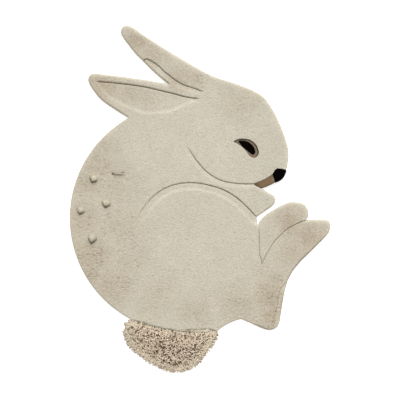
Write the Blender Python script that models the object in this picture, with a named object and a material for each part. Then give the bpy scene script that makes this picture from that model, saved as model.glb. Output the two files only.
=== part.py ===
# Rabbit shaped kids rug, hand tufted in wool and laid flat on the floor.
#
# The rug is one cloth: short cut pile on a canvas backing, cut out as a rabbit that lies curled
# up, seen from its side. Lines are carved into the pile, the eye, nose and lip are tufted in other
# yarns, the tail is long shag, and five small bobbles of uncut yarn stand on the back.
#
# +X is the way the nose points, +Y runs from the tail to the ears and +Z is up. The floor is at
# z = 0. Tables are in millimetres, and the whole rug is centred over the origin at the end.

import math
import random

import bmesh
import bpy
from mathutils import Matrix, Vector, noise
from mathutils.geometry import delaunay_2d_cdt, intersect_point_line

MM = 0.001

# Driving heights, from the floor
BACKING = 3.0            # top of the canvas and its latex
PILE_TOP = 15.0          # tips of the cut pile
SHAG_RIM = 16.0          # top of the tail's slab at its rim
SHAG_CROWN = 30.0        # top of the tail in its middle

# Driving widths
GAP = 0.3                # between pieces that touch
SHAG_SHOULDER = 50.0     # from the tail's rim in to its full height
SHAG_LUMP = 4.0          # height of the lumps on the tail
SHAG_LUMP_SIZE = 28.0
SHAG_GRID = 15.0
STRIP_SLOPE = 8.0        # slope from a sheared strip up to full pile
LEAF_DEPTH = 2.4         # how much lower the inside of the low ear is sheared
LEAF_SLOPE = 9.0
CUTTER_OVER = 12.0       # how far a cutter reaches past what it cuts
SMOOTH_UNDER = math.radians(40)

# Fineness of the arcs
ARC_CHORD = 20.0
ARC_TURN = math.radians(9)
SHORTEST = 0.8           # points of an outline that are nearer than this become one
FOLD = 0.97              # share of an inset that a point must keep, or it has folded over
MITRE = 0.6              # how far an offset corner may run out: one over this

EDGE_PROFILE = [
    # inset from the outline, height: up the rug's edge
    (1.5, 0.0),
    (0.0, 2.0),
    (0.3, 10.0),
    (1.8, 13.6),
    (5.0, PILE_TOP),
]
INLAY_PROFILE = [
    # inset, height: up the edge of a piece tufted in another yarn
    (0.0, BACKING + GAP),
    (0.0, 13.0),
    (0.7, 14.4),
    (2.0, PILE_TOP),
]
SHAG_PROFILE = [
    # inset, height: up the edge of the tail's slab
    (2.0, BACKING + GAP),
    (0.0, 8.0),
    (1.0, 13.0),
    (4.0, SHAG_RIM),
]

# The outline, counter-clockwise. Each stretch is an arc from the end of the one before to (x, y),
# bowed outwards by rise. round is how far from that end the corner starts to be softened.
RUG_OUTLINE = [
    # stretch, x, y, rise, round
    ("nose, front", 297, 102, 1.7, 9),
    ("muzzle", 294, 215, 10, 20),
    ("brow", 243, 325, 3, 20),
    ("forehead", 178, 381, 7.6, 20),
    ("crown", 49, 424, 2.2, 30),
    ("raised ear, front", -193, 568, -4.5, 30),
    ("raised ear, front end", -247, 598, 1.4, 6),
    ("raised ear, tip", -270, 572, 10.5, 6),
    ("raised ear, back", -193, 474, 6.5, 20),
    ("raised ear, root", -108, 398, 2.4, 3),
    ("low ear, top", -358, 435, 4.1, 6),
    ("low ear, tip", -385, 410, 9.3, 6),
    ("low ear, outer bend", -341, 343, 4.1, 14),
    ("low ear, root", -249, 283, 1.7, 3),
    ("back", -240, -412, 206, 3),
    ("tail backing, top", -233, -420, 0, 2),
    ("tail backing, back", -250, -459, 5.5, 10),
    ("tail backing, lower back", -215, -515, 7.5, 12),
    ("tail backing, back of the end", -131, -567, 3.5, 12),
    ("tail backing, end", -56, -577, 6.5, 12),
    ("tail backing, lower front", -3, -540, 5.5, 12),
    ("tail backing, front", 51, -464, 1.4, 6),
    ("tail backing, front corner", 60, -452, 0, 2),
    ("rump", 140, -411, -5.2, 4),
    ("heel, underside", 219, -446, 0, 14),
    ("heel", 273, -429, 11, 10),
    ("shin", 291, -316, 0, 20),
    ("ankle", 343, -216, -7.6, 20),
    ("sole", 433, -127, 0.7, 14),
    ("near toe, under", 450, -90, 3.1, 12),
    ("near toe, tip", 427, -69, 6.9, 8),
    ("near toe, top", 367, -68, 1.7, 3),
    ("far toe, under", 374, -42, 2.8, 8),
    ("far toe, tip", 338, -8, 9.3, 10),
    ("far toe, top", 288, -14, 4.5, 14),
    ("far instep", 233, -46, 0.7, 10),
    ("far foot, back", 197, -85, 2.8, 2),
    ("haunch, front", 194, -60, 1, 2),
    ("paw, underside", 249, -22, 0.3, 9),
    ("paw, tip", 261, 1, 2.8, 9),
    ("paw, knuckle", 247, 20, 4.1, 10),
    ("paw, top", 210, 39, 0.3, 2),
    ("lip", 258, 60, 1.7, 0),
    ("nose, underside", 281, 71, 1, 8),
]

# Pieces in other yarns, also counter-clockwise
NOSE = [
    ("back", 264, 108, 1, 5),
    ("lip end", 249, 88, 1.4, 0),
    ("underside", 258, 60, -1, 0),
    ("front", 281, 71, 1, 8),
    ("tip", 297, 102, 1.7, 6),
]
LIP = [
    ("nose end", 249, 88, 1, 0),
    ("top", 192, 59, -2.8, 3),
    ("corner", 186, 51, 1, 3),
    ("underside", 210, 39, 0.3, 4),
    ("front", 258, 60, 1.7, 0),
]
EYE_RIM = [
    ("back corner", 113, 199, 4.1, 4),
    ("lower end", 165, 157, -6, 6),
    ("lower lid", 185, 142, 1.7, 7),
    ("front", 200, 174, 7.6, 10),
    ("top", 151, 210, 10, 12),
]
PUPIL = [
    ("back corner", 129, 200.5, 1.5, 3),
    ("lower end", 180.5, 153.5, 1.2, 4),
    ("front", 190, 167, 3, 5),
    ("top", 150, 203.7, 8.5, 8),
]
SNOUT_LINE = [
    # line, x, y, rise: between the head's pile and the nose and lip
    ("nose tip", 297, 102, 0),
    ("nose back", 264, 108, 1),
    ("nose end of the lip", 249, 88, 1.4),
    ("lip top", 192, 59, -2.8),
    ("lip corner", 186, 51, 1),
    ("lip underside", 210, 39, 0.3),
]
SNOUT_LINE_PAST = [(262, 40), (330, 40), (330, 98)]      # over the paw and round the snout

# The seam where the tail's shag meets the short pile, and the rim of the shag's slab
TAIL_SEAM = [
    # line, x, y, rise
    ("back", -240, -412, 0),
    ("front", 60, -452, 15.8),
]
TAIL_SEAM_PAST = [(92, -458), (92, -640), (-310, -640), (-310, -414)]
TAIL_RIM = [
    # line, x, y, rise
    ("back corner", -239, -413.5, 0),
    ("back", -257, -459, 7),
    ("lower back", -219, -520, 8),
    ("back of the end", -134, -573, 3.7),
    ("end", -54, -583, 8),
    ("lower front", 1, -543, 7),
    ("front", 57, -466, 1.6),
    ("front corner", 60, -453.5, 1),
]

# Carved lines. Each runs so that the form that tucks under it is on its left, where the pile may
# also be sheared lower in a strip beside the cut.
HAUNCH_LINE = [
    ("knee", 193, -61, 0),
    ("front", 127, 6, 2.8),
    ("top front", 30, 50, 6.2),
    ("top", -71, 56, 5.5),
    ("back", -170, 3, 8.9),
    ("fading end", -226, -85, 4.1),
]
CHIN_LINE = [
    ("lip", 190, 55, 0),
    ("throat", 86, 62, -3.4),
    ("jaw", 13, 105, -5.5),
    ("cheek", -42, 181, -3.4),
]
RAISED_EAR_LINE = [
    ("head end", 12, 369, 0),
    ("root", -42, 390, 1.9),
    ("lower bend", -98, 421, -3.2),
    ("upper bend", -127, 444, 0),
    ("hook", -181, 483, 4.1),
    ("edge", -196, 477, 3),
]
LOW_EAR_LINE = [
    ("head end", -1, 348, 0),
    ("root", -83, 363, -3),
    ("middle", -183, 387, 0),
    ("tip", -357, 407, 2.4),
]
LOW_EAR_LEAF = [
    ("tip", -357, 407, 0),
    ("outer", -318, 353, 4.8),
    ("lower", -199, 296, 4.2),
    ("belly", -100, 302, 4.3),
    ("head end", -1, 347, 1),
]
LEG_LINE = [
    ("toes", 367, -69, 0),
    ("instep", 305, -96, 1.4),
    ("middle", 252, -147, 1.5),
    ("bottom", 212, -221, 1.5),
    ("turn", 204, -190, 2),
    ("top", 202, -95, 0),
]
HEEL_LINE = [
    ("ankle", 305, -277, 0),
    ("bend", 276, -307, 1.7),
    ("middle", 269, -345, 1.7),
    ("heel", 240, -448, -2),
]
CARVED_LINES = [
    # line, cut width, cut depth, strip width, strip depth, fade at the start, fade at the end
    (HAUNCH_LINE, 5, 8, 26, 2.2, 0, 90),
    (CHIN_LINE, 4.5, 7, 14, 1.4, 0, 25),
    (RAISED_EAR_LINE, 5, 8, 16, 1.6, 14, 0),
    (LOW_EAR_LINE, 5.5, 9, 14, LEAF_DEPTH, 14, 10),
    (LEG_LINE, 3.5, 5, 0, 0, 0, 16),
    (HEEL_LINE, 4, 3, 13, 1.6, 8, 8),
]

BOBBLES = [
    # bobble, x, y, length, width, height, turn in degrees
    ("bobble_1", -366, 72, 32, 27, 12, 15),
    ("bobble_2", -281, 92, 50, 17, 8, 4),
    ("bobble_3", -323, -12, 34, 27, 12, 25),
    ("bobble_4", -411, -36, 31, 28, 11, -20),
    ("bobble_5", -371, -134, 32, 37, 13, 10),
]
BOBBLE_SIDES = 12
BOBBLE_LUMP = 0.16       # share of its radius
BOBBLE_LUMPS = 1.7       # how fast the lumps follow each other round it
BOBBLE_RINGS = [
    # share of the radius, share of the height
    (0.86, 0.0),
    (1.0, 0.32),
    (0.84, 0.74),
    (0.45, 0.97),
]

LOCK_SPACING = 11.0
LOCK_LENGTH = (15.0, 22.0)
LOCK_ROOT = 6.0          # how deep a lock is rooted in the slab
LOCK_SPLAY = math.radians(14)
LOCK_SEED = 7
LOCK_STEPS = [
    # share of the length, thickness, height of its middle
    (0.0, 9.0, 8.6),
    (0.5, 7.6, 7.4),
    (0.84, 5.8, 4.4),
    (1.0, 3.6, 2.3),
]

YARNS = {
    # yarn: sRGB colour, roughness
    "ecru_pile": ("CDC6B4", 0.95),
    "ecru_shag": ("B8A992", 0.95),
    "tan_pile": ("8A6F5A", 0.95),
    "brown_pile": ("6B5B4C", 0.95),
    "black_pile": ("0E0B0A", 0.9),
}


def arc(start, end, rise):
    """Points after start, up to end, on an arc that bows to the right of its way by rise."""
    chord = end - start
    length = chord.length
    turn = 4 * math.atan(2 * abs(rise) / length)
    steps = max(1, math.ceil(turn / ARC_TURN), math.ceil(length / ARC_CHORD))
    if turn < ARC_TURN / 4:
        return [start + chord * (i / steps) for i in range(1, steps + 1)]
    side = math.copysign(1, rise)
    radius = length / 2 / math.sin(turn / 2)
    right = Vector((chord.y, -chord.x)) / length
    centre = (start + end) / 2 + right * (rise - side * radius)
    steps = max(steps, math.ceil(radius * turn / ARC_CHORD))
    turns = (Matrix.Rotation(side * turn * i / steps, 2) for i in range(1, steps + 1))
    return [centre + turned @ (start - centre) for turned in turns]


def route(rows):
    """The open line of a table of arcs."""
    points = [Vector(rows[0][1:3])]
    for _, x, y, rise in rows[1:]:
        points += arc(points[-1], Vector((x, y)), rise)
    return points


def closed_outline(rows):
    """The closed polygon of a table of arcs, with its corners softened."""
    ends = [Vector(row[1:3]) for row in rows]
    rounds = [row[4] for row in rows]
    stretches = []
    for i, row in enumerate(rows):
        inner = arc(ends[i - 1], ends[i], row[3])[:-1]
        far = [p for p in inner if (p - ends[i - 1]).length > rounds[i - 1]]
        stretches.append([p for p in far if (p - ends[i]).length > rounds[i]])
    outline = []
    for i, stretch in enumerate(stretches):
        following = (i + 1) % len(rows)
        before = stretch[-1] if stretch else ends[i - 1]
        after = stretches[following][0] if stretches[following] else ends[following]
        outline += stretch + softened(ends[i], before, after, rounds[i])
    return [p for i, p in enumerate(outline) if (p - outline[i - 1]).length > SHORTEST]


def softened(corner, before, after, distance):
    """A corner, or the curve that replaces it from that distance before it to as far after it."""
    if distance == 0:
        return [corner]
    start = corner + (before - corner).normalized() * distance
    end = corner + (after - corner).normalized() * distance
    return [start * (1 - t) ** 2 + corner * 2 * t * (1 - t) + end * t * t for t in (0, 1 / 3, 2 / 3, 1)]


def left_normals(points, closed):
    """For each point, the way left of the line, long enough to keep offset sides parallel."""
    normals = []
    for i, point in enumerate(points):
        before = points[i - 1] if closed or i else None
        after = points[(i + 1) % len(points)] if closed or i < len(points) - 1 else None
        ways = [(b - a).normalized() for a, b in ((before, point), (point, after)) if a and b]
        sides = [Vector((-way.y, way.x)) for way in ways]
        mean = sum(sides, Vector((0, 0))).normalized()
        normals.append(mean / max(MITRE, mean.dot(sides[0])))
    return normals


def moved_left(points, distance, closed=False):
    """The line moved sideways: inwards, on a counter-clockwise outline."""
    return [p + n * distance for p, n in zip(points, left_normals(points, closed))]


def moved_inwards(outline, distance):
    """A closed outline moved inwards, without the points that fold over at its corners."""
    around = outline + outline[:1]
    moved = moved_left(outline, distance, closed=True)
    return [p for p in moved if abs(place_on(p, around)[0]) >= distance * FOLD]


def is_inside(point, polygon):
    inside = False
    for a, b in zip(polygon, polygon[1:] + polygon[:1]):
        if (a.y > point.y) != (b.y > point.y):
            crossing = a.x + (point.y - a.y) / (b.y - a.y) * (b.x - a.x)
            inside ^= point.x < crossing
    return inside


def place_on(point, line):
    """How far a point is to the left of a line, how far along the line, and the line's length."""
    nearest = (math.inf, 0.0, 0.0)
    along = 0.0
    for a, b in zip(line, line[1:]):
        side = b - a
        share = min(1, max(0, intersect_point_line(point, a, b)[1]))
        away = point - (a + side * share)
        if away.length < nearest[0]:
            left = math.copysign(1, side.cross(point - a))
            nearest = (away.length, left * away.length, along + side.length * share)
        along += side.length
    return nearest[1], nearest[2], along


def read_section(section, place):
    """The depth at a place across a section of (place, depth) rows."""
    for (a, depth_a), (b, depth_b) in zip(section, section[1:]):
        if a <= place <= b:
            return depth_a + (depth_b - depth_a) * (place - a) / (b - a)
    return 0.0


def cut_section(width, depth, strip, strip_depth):
    """Depths across a carved line: a V, with a sheared strip on its left."""
    section = [(-width / 2, 0.0), (0.0, depth), (width / 2, strip_depth)]
    if strip:
        section += [(strip - STRIP_SLOPE, strip_depth), (strip, 0.0)]
    return section


class Carving:
    """The carved lines, and the sheared leaf inside the low ear."""

    def __init__(self):
        self.cuts = []
        for rows, width, depth, strip, strip_depth, fade_in, fade_out in CARVED_LINES:
            section = cut_section(width, depth, strip, strip_depth)
            self.cuts.append((route(rows), section, fade_in, fade_out))
        self.leaf_edge = route(LOW_EAR_LEAF)
        self.leaf = self.leaf_edge + route(LOW_EAR_LINE)[1:-1]

    def depth(self, point):
        """How far below full pile the wool is sheared at a point."""
        deepest = 0.0
        for line, section, fade_in, fade_out in self.cuts:
            across, along, length = place_on(point, line)
            strength = 1.0
            if fade_in:
                strength = min(strength, along / fade_in)
            if fade_out:
                strength = min(strength, (length - along) / fade_out)
            deepest = max(deepest, read_section(section, across) * strength)
        if is_inside(point, self.leaf):
            from_edge = abs(place_on(point, self.leaf_edge)[0])
            deepest = max(deepest, LEAF_DEPTH * min(1, from_edge / LEAF_SLOPE))
        return deepest

    def guides(self):
        """The lines that the faces of the pile follow, where its slope changes."""
        lines = [self.leaf_edge, moved_left(self.leaf_edge, LEAF_SLOPE)]
        for line, section, _, _ in self.cuts:
            lines += [moved_left(line, place) for place, _ in section]
        return lines


def filled(outline, guides, loose_points):
    """Points and triangles inside a closed outline, with edges along the guide lines."""
    points = list(outline)
    edges = [(i, (i + 1) % len(outline)) for i in range(len(outline))]
    for guide in guides:
        edges += [(len(points) + i, len(points) + i + 1) for i in range(len(guide) - 1)]
        points += guide
    points += loose_points
    places, _, faces, _, _, _ = delaunay_2d_cdt(points, edges, [], 0, GAP)
    kept = []
    for face in faces:
        middle = sum((places[i] for i in face), Vector((0, 0))) / len(face)
        if is_inside(middle, outline):
            kept.append(face)
    return places, kept


def rim_of(mesh):
    """The vertices along the open edge of a mesh that faces up, counter-clockwise."""
    following = {}
    for edge in mesh.edges:
        if edge.is_boundary:
            loop = edge.link_loops[0]
            following[loop.vert] = loop.link_loop_next.vert
    around = [next(iter(following))]
    while following[around[-1]] != around[0]:
        around.append(following[around[-1]])
    return around


def slab(name, outline, profile, height_of, yarn=None, guides=(), loose_points=()):
    """A flat piece of pile. profile goes up its edge, and height_of is the height of its top."""
    inset_top, top = profile[-1]
    bottom = profile[0][1]
    rim = moved_inwards(outline, inset_top)
    places, faces = filled(rim, guides, list(loose_points))
    mesh = bmesh.new()
    used = {i for face in faces for i in face}
    verts = {i: mesh.verts.new((*places[i], height_of(places[i]))) for i in sorted(used)}
    for face in faces:
        mesh.faces.new([verts[i] for i in face])
    above = rim_of(mesh)
    rim = [v.co.xy for v in above]
    rim_heights = [v.co.z for v in above]
    inwards = left_normals(rim, closed=True)
    for inset, height in reversed(profile[:-1]):
        share = (height - bottom) / (top - bottom)
        below = []
        for point, inward, rim_height in zip(rim, inwards, rim_heights):
            place = point - inward * (inset_top - inset)
            below.append(mesh.verts.new((*place, bottom + share * (rim_height - bottom))))
        for i, vert in enumerate(above):
            j = (i + 1) % len(above)
            mesh.faces.new((above[j], vert, below[i], below[j]))
        above = below
    mesh.faces.new(above[::-1])
    bmesh.ops.triangulate(mesh, faces=mesh.faces)
    return add_object(name, mesh, yarn)


def prism(name, outline, low, high):
    """An upright block of an outline, as a cutter."""
    return slab(name, outline, [(0, low), (0, high)], lambda _: high)


def add_object(name, mesh, yarn):
    """An object made of a bmesh that is in millimetres."""
    bmesh.ops.scale(mesh, vec=(MM, MM, MM), verts=mesh.verts)
    mesh.normal_update()
    data = bpy.data.meshes.new(name)
    mesh.to_mesh(data)
    mesh.free()
    made = bpy.data.objects.new(name, data)
    bpy.context.scene.collection.objects.link(made)
    if yarn:
        data.materials.append(wool(yarn))
        data.shade_smooth()
        data.set_sharp_from_angle(angle=SMOOTH_UNDER)
    return made


def wool(yarn):
    """The material of a yarn."""
    material = bpy.data.materials.get(yarn)
    if material is None:
        colour, roughness = YARNS[yarn]
        material = bpy.data.materials.new(yarn)
        material.use_nodes = True
        shader = material.node_tree.nodes["Principled BSDF"]
        channels = [int(colour[i : i + 2], 16) / 255 for i in (0, 2, 4)]
        linear = [c / 12.92 if c <= 0.04045 else ((c + 0.055) / 1.055) ** 2.4 for c in channels]
        shader.inputs["Base Color"].default_value = (*linear, 1)
        shader.inputs["Roughness"].default_value = roughness
        shader.inputs["Metallic"].default_value = 0
    return material


def combine(piece, tool, operation):
    """Cuts a tool's shape out of a piece, or joins it on. The tool itself isn't part of the rug."""
    tool.hide_render = True
    tool.display_type = "WIRE"
    tool.parent = piece
    change = piece.modifiers.new(tool.name, "BOOLEAN")
    change.operation = operation
    change.use_self = operation == "UNION"
    change.object = tool


def vectors(places):
    return [Vector(place) for place in places]


def rug_body():
    """The canvas with all its short pile, carved, with room above the canvas for the other yarns."""
    carving = Carving()
    body = slab(
        "rug_body",
        closed_outline(RUG_OUTLINE),
        EDGE_PROFILE,
        lambda point: PILE_TOP - carving.depth(point),
        "ecru_pile",
        carving.guides(),
    )
    pockets = {
        "snout_pocket": moved_left(route(SNOUT_LINE), -GAP / 2) + vectors(SNOUT_LINE_PAST),
        "eye_pocket": moved_left(closed_outline(EYE_RIM), -GAP / 2, closed=True),
        "tail_pocket": (route(TAIL_SEAM) + vectors(TAIL_SEAM_PAST))[::-1],
    }
    for name, outline in pockets.items():
        combine(body, prism(name, outline, BACKING, PILE_TOP + CUTTER_OVER), "DIFFERENCE")


def inlay(name, rows, yarn):
    """A piece of the face, tufted in another yarn."""
    outline = moved_left(closed_outline(rows), GAP / 2, closed=True)
    return slab(name, outline, INLAY_PROFILE, lambda _: PILE_TOP, yarn)


def face():
    inlay("nose", NOSE, "black_pile")
    inlay("lip", LIP, "tan_pile")
    inlay("pupil", PUPIL, "black_pile")
    rim = inlay("eye_rim", EYE_RIM, "brown_pile")
    hole = moved_left(closed_outline(PUPIL), -GAP / 2, closed=True)
    combine(rim, prism("pupil_hole", hole, 0, PILE_TOP + CUTTER_OVER), "DIFFERENCE")


def bobble(name, x, y, length, width, height, turn):
    """A small lumpy knot of uncut yarn with a flat foot."""
    mesh = bmesh.new()
    rings = []
    for radius, rise in BOBBLE_RINGS:
        ring = []
        for i in range(BOBBLE_SIDES):
            angle = 2 * math.pi * i / BOBBLE_SIDES
            way = Vector((math.cos(angle), math.sin(angle), 0))
            lump = 1 + BOBBLE_LUMP * noise.noise(way * BOBBLE_LUMPS + Vector((x, y, rise)))
            place = way * radius * lump
            ring.append(mesh.verts.new((place.x * length / 2, place.y * width / 2, rise * height)))
        rings.append(ring)
    mesh.faces.new(rings[0][::-1])
    for low, high in zip(rings, rings[1:]):
        for i in range(BOBBLE_SIDES):
            j = (i + 1) % BOBBLE_SIDES
            mesh.faces.new((low[i], low[j], high[j], high[i]))
    mesh.faces.new(rings[-1])
    bmesh.ops.triangulate(mesh, faces=mesh.faces)
    made = add_object(name, mesh, "ecru_pile")
    made.location = (x * MM, y * MM, (PILE_TOP + GAP) * MM)
    made.rotation_euler.z = math.radians(turn)


def lock(mesh, root, way, length):
    """One tapered lock of shag, four-sided, that droops from the slab's rim to the floor."""
    side = Vector((-way.y, way.x))
    rings = []
    for share, thickness, height in LOCK_STEPS:
        middle = root + way * (length * share)
        half = thickness / 2
        corners = [(-half, -half), (half, -half), (half, half), (-half, half)]
        ring = [mesh.verts.new((*(middle - side * across), height + up)) for across, up in corners]
        rings.append(ring)
    mesh.faces.new(rings[0])
    for near, far in zip(rings, rings[1:]):
        for i in range(4):
            j = (i + 1) % 4
            mesh.faces.new((near[j], near[i], far[i], far[j]))
    mesh.faces.new(rings[-1][::-1])


def locks(outline, seam):
    """The locks around the tail's rim, as one tool to join to its slab."""
    spread = random.Random(LOCK_SEED)
    mesh = bmesh.new()
    due = 0.0
    inwards = left_normals(outline, closed=True)
    for i, point in enumerate(outline):
        following = (i + 1) % len(outline)
        side = outline[following] - point
        while due < side.length:
            share = due / side.length
            place = point + side * share
            inward = inwards[i].lerp(inwards[following], share).normalized()
            due += LOCK_SPACING
            way = Matrix.Rotation(spread.uniform(-LOCK_SPLAY, LOCK_SPLAY), 2) @ -inward
            length = spread.uniform(*LOCK_LENGTH)
            tip = place + way * length
            if max(place_on(tip, seam)[0], place_on(place, seam)[0]) < -LOCK_SPACING:
                lock(mesh, place + inward * LOCK_ROOT, way, length)
        due -= side.length
    bmesh.ops.triangulate(mesh, faces=mesh.faces)
    return add_object("tail_locks", mesh, None)


def shag_height(point, outline):
    """The lumpy top of the tail, highest in its middle."""
    from_rim = abs(place_on(point, outline + outline[:1])[0])
    share = min(1, from_rim / SHAG_SHOULDER)
    dome = SHAG_RIM + (SHAG_CROWN - SHAG_RIM) * math.sin(share * math.pi / 2)
    lumps = noise.noise(Vector((*point, 0)) / SHAG_LUMP_SIZE)
    return dome + SHAG_LUMP * lumps * share


def staggered_grid(outline):
    """Points in rows inside an outline, clear of its edge."""
    low = Vector((min(p.x for p in outline), min(p.y for p in outline)))
    high = Vector((max(p.x for p in outline), max(p.y for p in outline)))
    around = outline + outline[:1]
    grid = []
    for row in range(math.ceil((high.y - low.y) / SHAG_GRID)):
        for column in range(math.ceil((high.x - low.x) / SHAG_GRID)):
            point = low + Vector((column + row % 2 / 2, row)) * SHAG_GRID
            if is_inside(point, outline) and abs(place_on(point, around)[0]) > SHAG_GRID / 2:
                grid.append(point)
    return grid


def tail():
    """The long shag of the tail: a lumpy slab with locks round its rim."""
    seam = route(TAIL_SEAM)
    outline = moved_left(seam, -GAP)[-2:0:-1] + route(TAIL_RIM)
    rim = moved_inwards(outline, SHAG_PROFILE[-1][0])
    shag = slab(
        "tail_shag",
        outline,
        SHAG_PROFILE,
        lambda point: shag_height(point, rim),
        "ecru_shag",
        loose_points=staggered_grid(rim),
    )
    combine(shag, locks(outline, seam), "UNION")


def centre_over_origin():
    """Hangs every piece on one empty and moves that, so that the rug's box is centred."""
    rug = bpy.data.objects.new("rug", None)
    bpy.context.scene.collection.objects.link(rug)
    bpy.context.view_layer.update()
    shapes = bpy.context.evaluated_depsgraph_get()
    corners = []
    for piece in bpy.context.scene.objects:
        if piece.type == "MESH" and not piece.hide_render:
            corners += [piece.matrix_world @ v.co for v in piece.evaluated_get(shapes).data.vertices]
        if piece.parent is None and piece is not rug:
            piece.parent = rug
    for axis in (0, 1):
        places = [corner[axis] for corner in corners]
        rug.location[axis] = -(min(places) + max(places)) / 2


def main():
    for old in list(bpy.data.objects):
        bpy.data.objects.remove(old)
    rug_body()
    face()
    tail()
    for row in BOBBLES:
        bobble(*row)
    centre_over_origin()


main()
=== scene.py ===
# Rabbit shaped kids rug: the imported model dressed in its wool.
# Everything is worked out in millimetres in the row frame, and made in metres.
import math
import random

import bmesh
import bpy
import numpy as np
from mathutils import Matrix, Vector, noise
from mathutils.bvhtree import BVHTree
from mathutils.geometry import delaunay_2d_cdt
from mathutils.kdtree import KDTree


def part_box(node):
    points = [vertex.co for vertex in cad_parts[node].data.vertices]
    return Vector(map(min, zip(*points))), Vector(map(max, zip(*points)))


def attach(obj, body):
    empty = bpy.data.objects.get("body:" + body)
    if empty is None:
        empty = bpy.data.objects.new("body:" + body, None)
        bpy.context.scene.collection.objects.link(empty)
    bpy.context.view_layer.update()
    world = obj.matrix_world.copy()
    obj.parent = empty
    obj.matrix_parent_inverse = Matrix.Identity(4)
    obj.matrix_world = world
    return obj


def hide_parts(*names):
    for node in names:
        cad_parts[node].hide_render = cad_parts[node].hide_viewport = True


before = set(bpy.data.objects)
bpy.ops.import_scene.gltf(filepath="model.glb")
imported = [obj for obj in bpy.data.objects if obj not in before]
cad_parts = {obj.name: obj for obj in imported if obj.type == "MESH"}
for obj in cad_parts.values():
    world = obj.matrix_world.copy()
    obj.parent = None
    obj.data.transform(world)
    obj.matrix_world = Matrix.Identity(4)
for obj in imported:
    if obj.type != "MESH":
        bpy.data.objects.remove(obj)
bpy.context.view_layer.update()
print("frame loaded:", ", ".join(sorted(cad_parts)))

mm = 0.001
pileTop = 15.0       # mm, the tips of the short pile
pileBase = 3.5       # what lies lower is canvas
midPile = 10.0       # the pile's rounded edge counts as pile from here up
recessFloor = 3.3    # where the face's pieces and the tail stand on the canvas
overAll = 200.0      # rays come down from here


# Materials

def linear(hexColour):
    # sRGB hex to the linear colour that the sockets take
    channels = [int(hexColour[i:i + 2], 16) / 255 for i in (0, 2, 4)]
    return [c / 12.92 if c <= 0.04045 else ((c + 0.055) / 1.055) ** 2.4 for c in channels] + [1]


def addNode(tree, kind, settings=None, links=None):
    # one node, its plain settings and socket values, and what is linked into it
    node = tree.nodes.new(kind)
    for key, value in (settings or {}).items():
        if isinstance(key, str) and hasattr(node, key):
            setattr(node, key, value)
        else:
            node.inputs[key].default_value = value
    for key, source in (links or {}).items():
        tree.links.new(source, node.inputs[key])
    return node


def woolMaterial(name, wool):
    # Wool yarn: matt, with a faint bloom of fibre ends where it turns away from the eye.
    # By the mesh's values: paintedShadeHex is painted shade down between the yarns and in grooves
    # ("root"), napHex where the pile leans away and looks tan ("nap"), and "tone" is how light each
    # tuft's own yarn is, with painted light added in places.
    material = bpy.data.materials.new(name)
    material.use_nodes = True
    tree = material.node_tree
    tree.nodes.clear()
    place = addNode(tree, "ShaderNodeTexCoord").outputs["Object"]
    root = addNode(tree, "ShaderNodeAttribute", {"attribute_name": "root"}).outputs["Fac"]
    tone = addNode(tree, "ShaderNodeAttribute", {"attribute_name": "tone"}).outputs["Fac"]
    nap = addNode(tree, "ShaderNodeAttribute", {"attribute_name": "nap"}).outputs["Fac"]
    leaning = addNode(tree, "ShaderNodeMix", {"data_type": "RGBA", 6: linear(wool["tipHex"]),
                                              7: linear(wool["napHex"])}, {0: nap})
    colour = addNode(tree, "ShaderNodeMix", {"data_type": "RGBA", 7: linear(wool["paintedShadeHex"])},
                     {0: root, 6: leaning.outputs[2]})
    patterns = [
        # soft clouds where feet and shearing have turned the pile
        ("ShaderNodeTexNoise", {"Scale": 1000 / wool["cloudSize"], "Detail": 3.0,
                                "Roughness": 0.6}, "Fac", 0.3, wool["cloudDepth"]),
        # yarn ends: each tuft a little lighter or darker than the next
        ("ShaderNodeTexNoise", {"Scale": 1000 / wool["yarnSize"], "Detail": 2.0,
                                "Roughness": 0.7}, "Fac", 0.3, wool["yarnDepth"]),
        # cut ends stand up round and the light is lost in the little gaps between them
        ("ShaderNodeTexVoronoi", {"feature": "SMOOTH_F1", "Scale": 1000 / wool["tuftSize"],
                                  "Smoothness": 0.3}, "Distance", 0.25, -wool["tuftDepth"])]
    for kind, settings, output, least, depth in patterns:
        pattern = addNode(tree, kind, settings, {"Vector": place}).outputs[output]
        share = addNode(tree, "ShaderNodeMapRange",
                        {"From Min": least, "From Max": 1 - least,
                         "To Min": 1 - depth, "To Max": 1 + depth}, {"Value": pattern})
        tone = addNode(tree, "ShaderNodeMath", {"operation": "MULTIPLY"},
                       {0: tone, 1: share.outputs["Result"]}).outputs["Value"]
    shaded = addNode(tree, "ShaderNodeVectorMath", {"operation": "SCALE"},
                     {0: colour.outputs[2], "Scale": tone})
    fibre = addNode(tree, "ShaderNodeTexNoise",
                    {"Scale": 1000 / wool["fibreSize"], "Detail": 3.0, "Roughness": 0.65},
                    {"Vector": place})
    # the tufts, which are the last pattern, stand up round, with fibre bundles over them
    relief = addNode(tree, "ShaderNodeMath", {"operation": "MULTIPLY_ADD", 1: -wool["tuftRelief"]},
                     {0: pattern, 2: fibre.outputs["Fac"]})
    bump = addNode(tree, "ShaderNodeBump", {"Strength": wool["bumpStrength"],
                                            "Distance": wool["bumpDepth"] * mm},
                   {"Height": relief.outputs["Value"]})
    shader = addNode(tree, "ShaderNodeBsdfPrincipled",
                     {"Roughness": wool["roughness"], "Metallic": 0.0, "IOR": 1.54,
                      "Specular IOR Level": wool["specular"], "Sheen Weight": wool["sheen"],
                      "Sheen Roughness": 0.5, "Sheen Tint": linear(wool["tipHex"])},
                     {"Base Color": shaded.outputs["Vector"], "Normal": bump.outputs["Normal"]})
    addNode(tree, "ShaderNodeOutputMaterial", {}, {"Surface": shader.outputs["BSDF"]})
    return material


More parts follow.
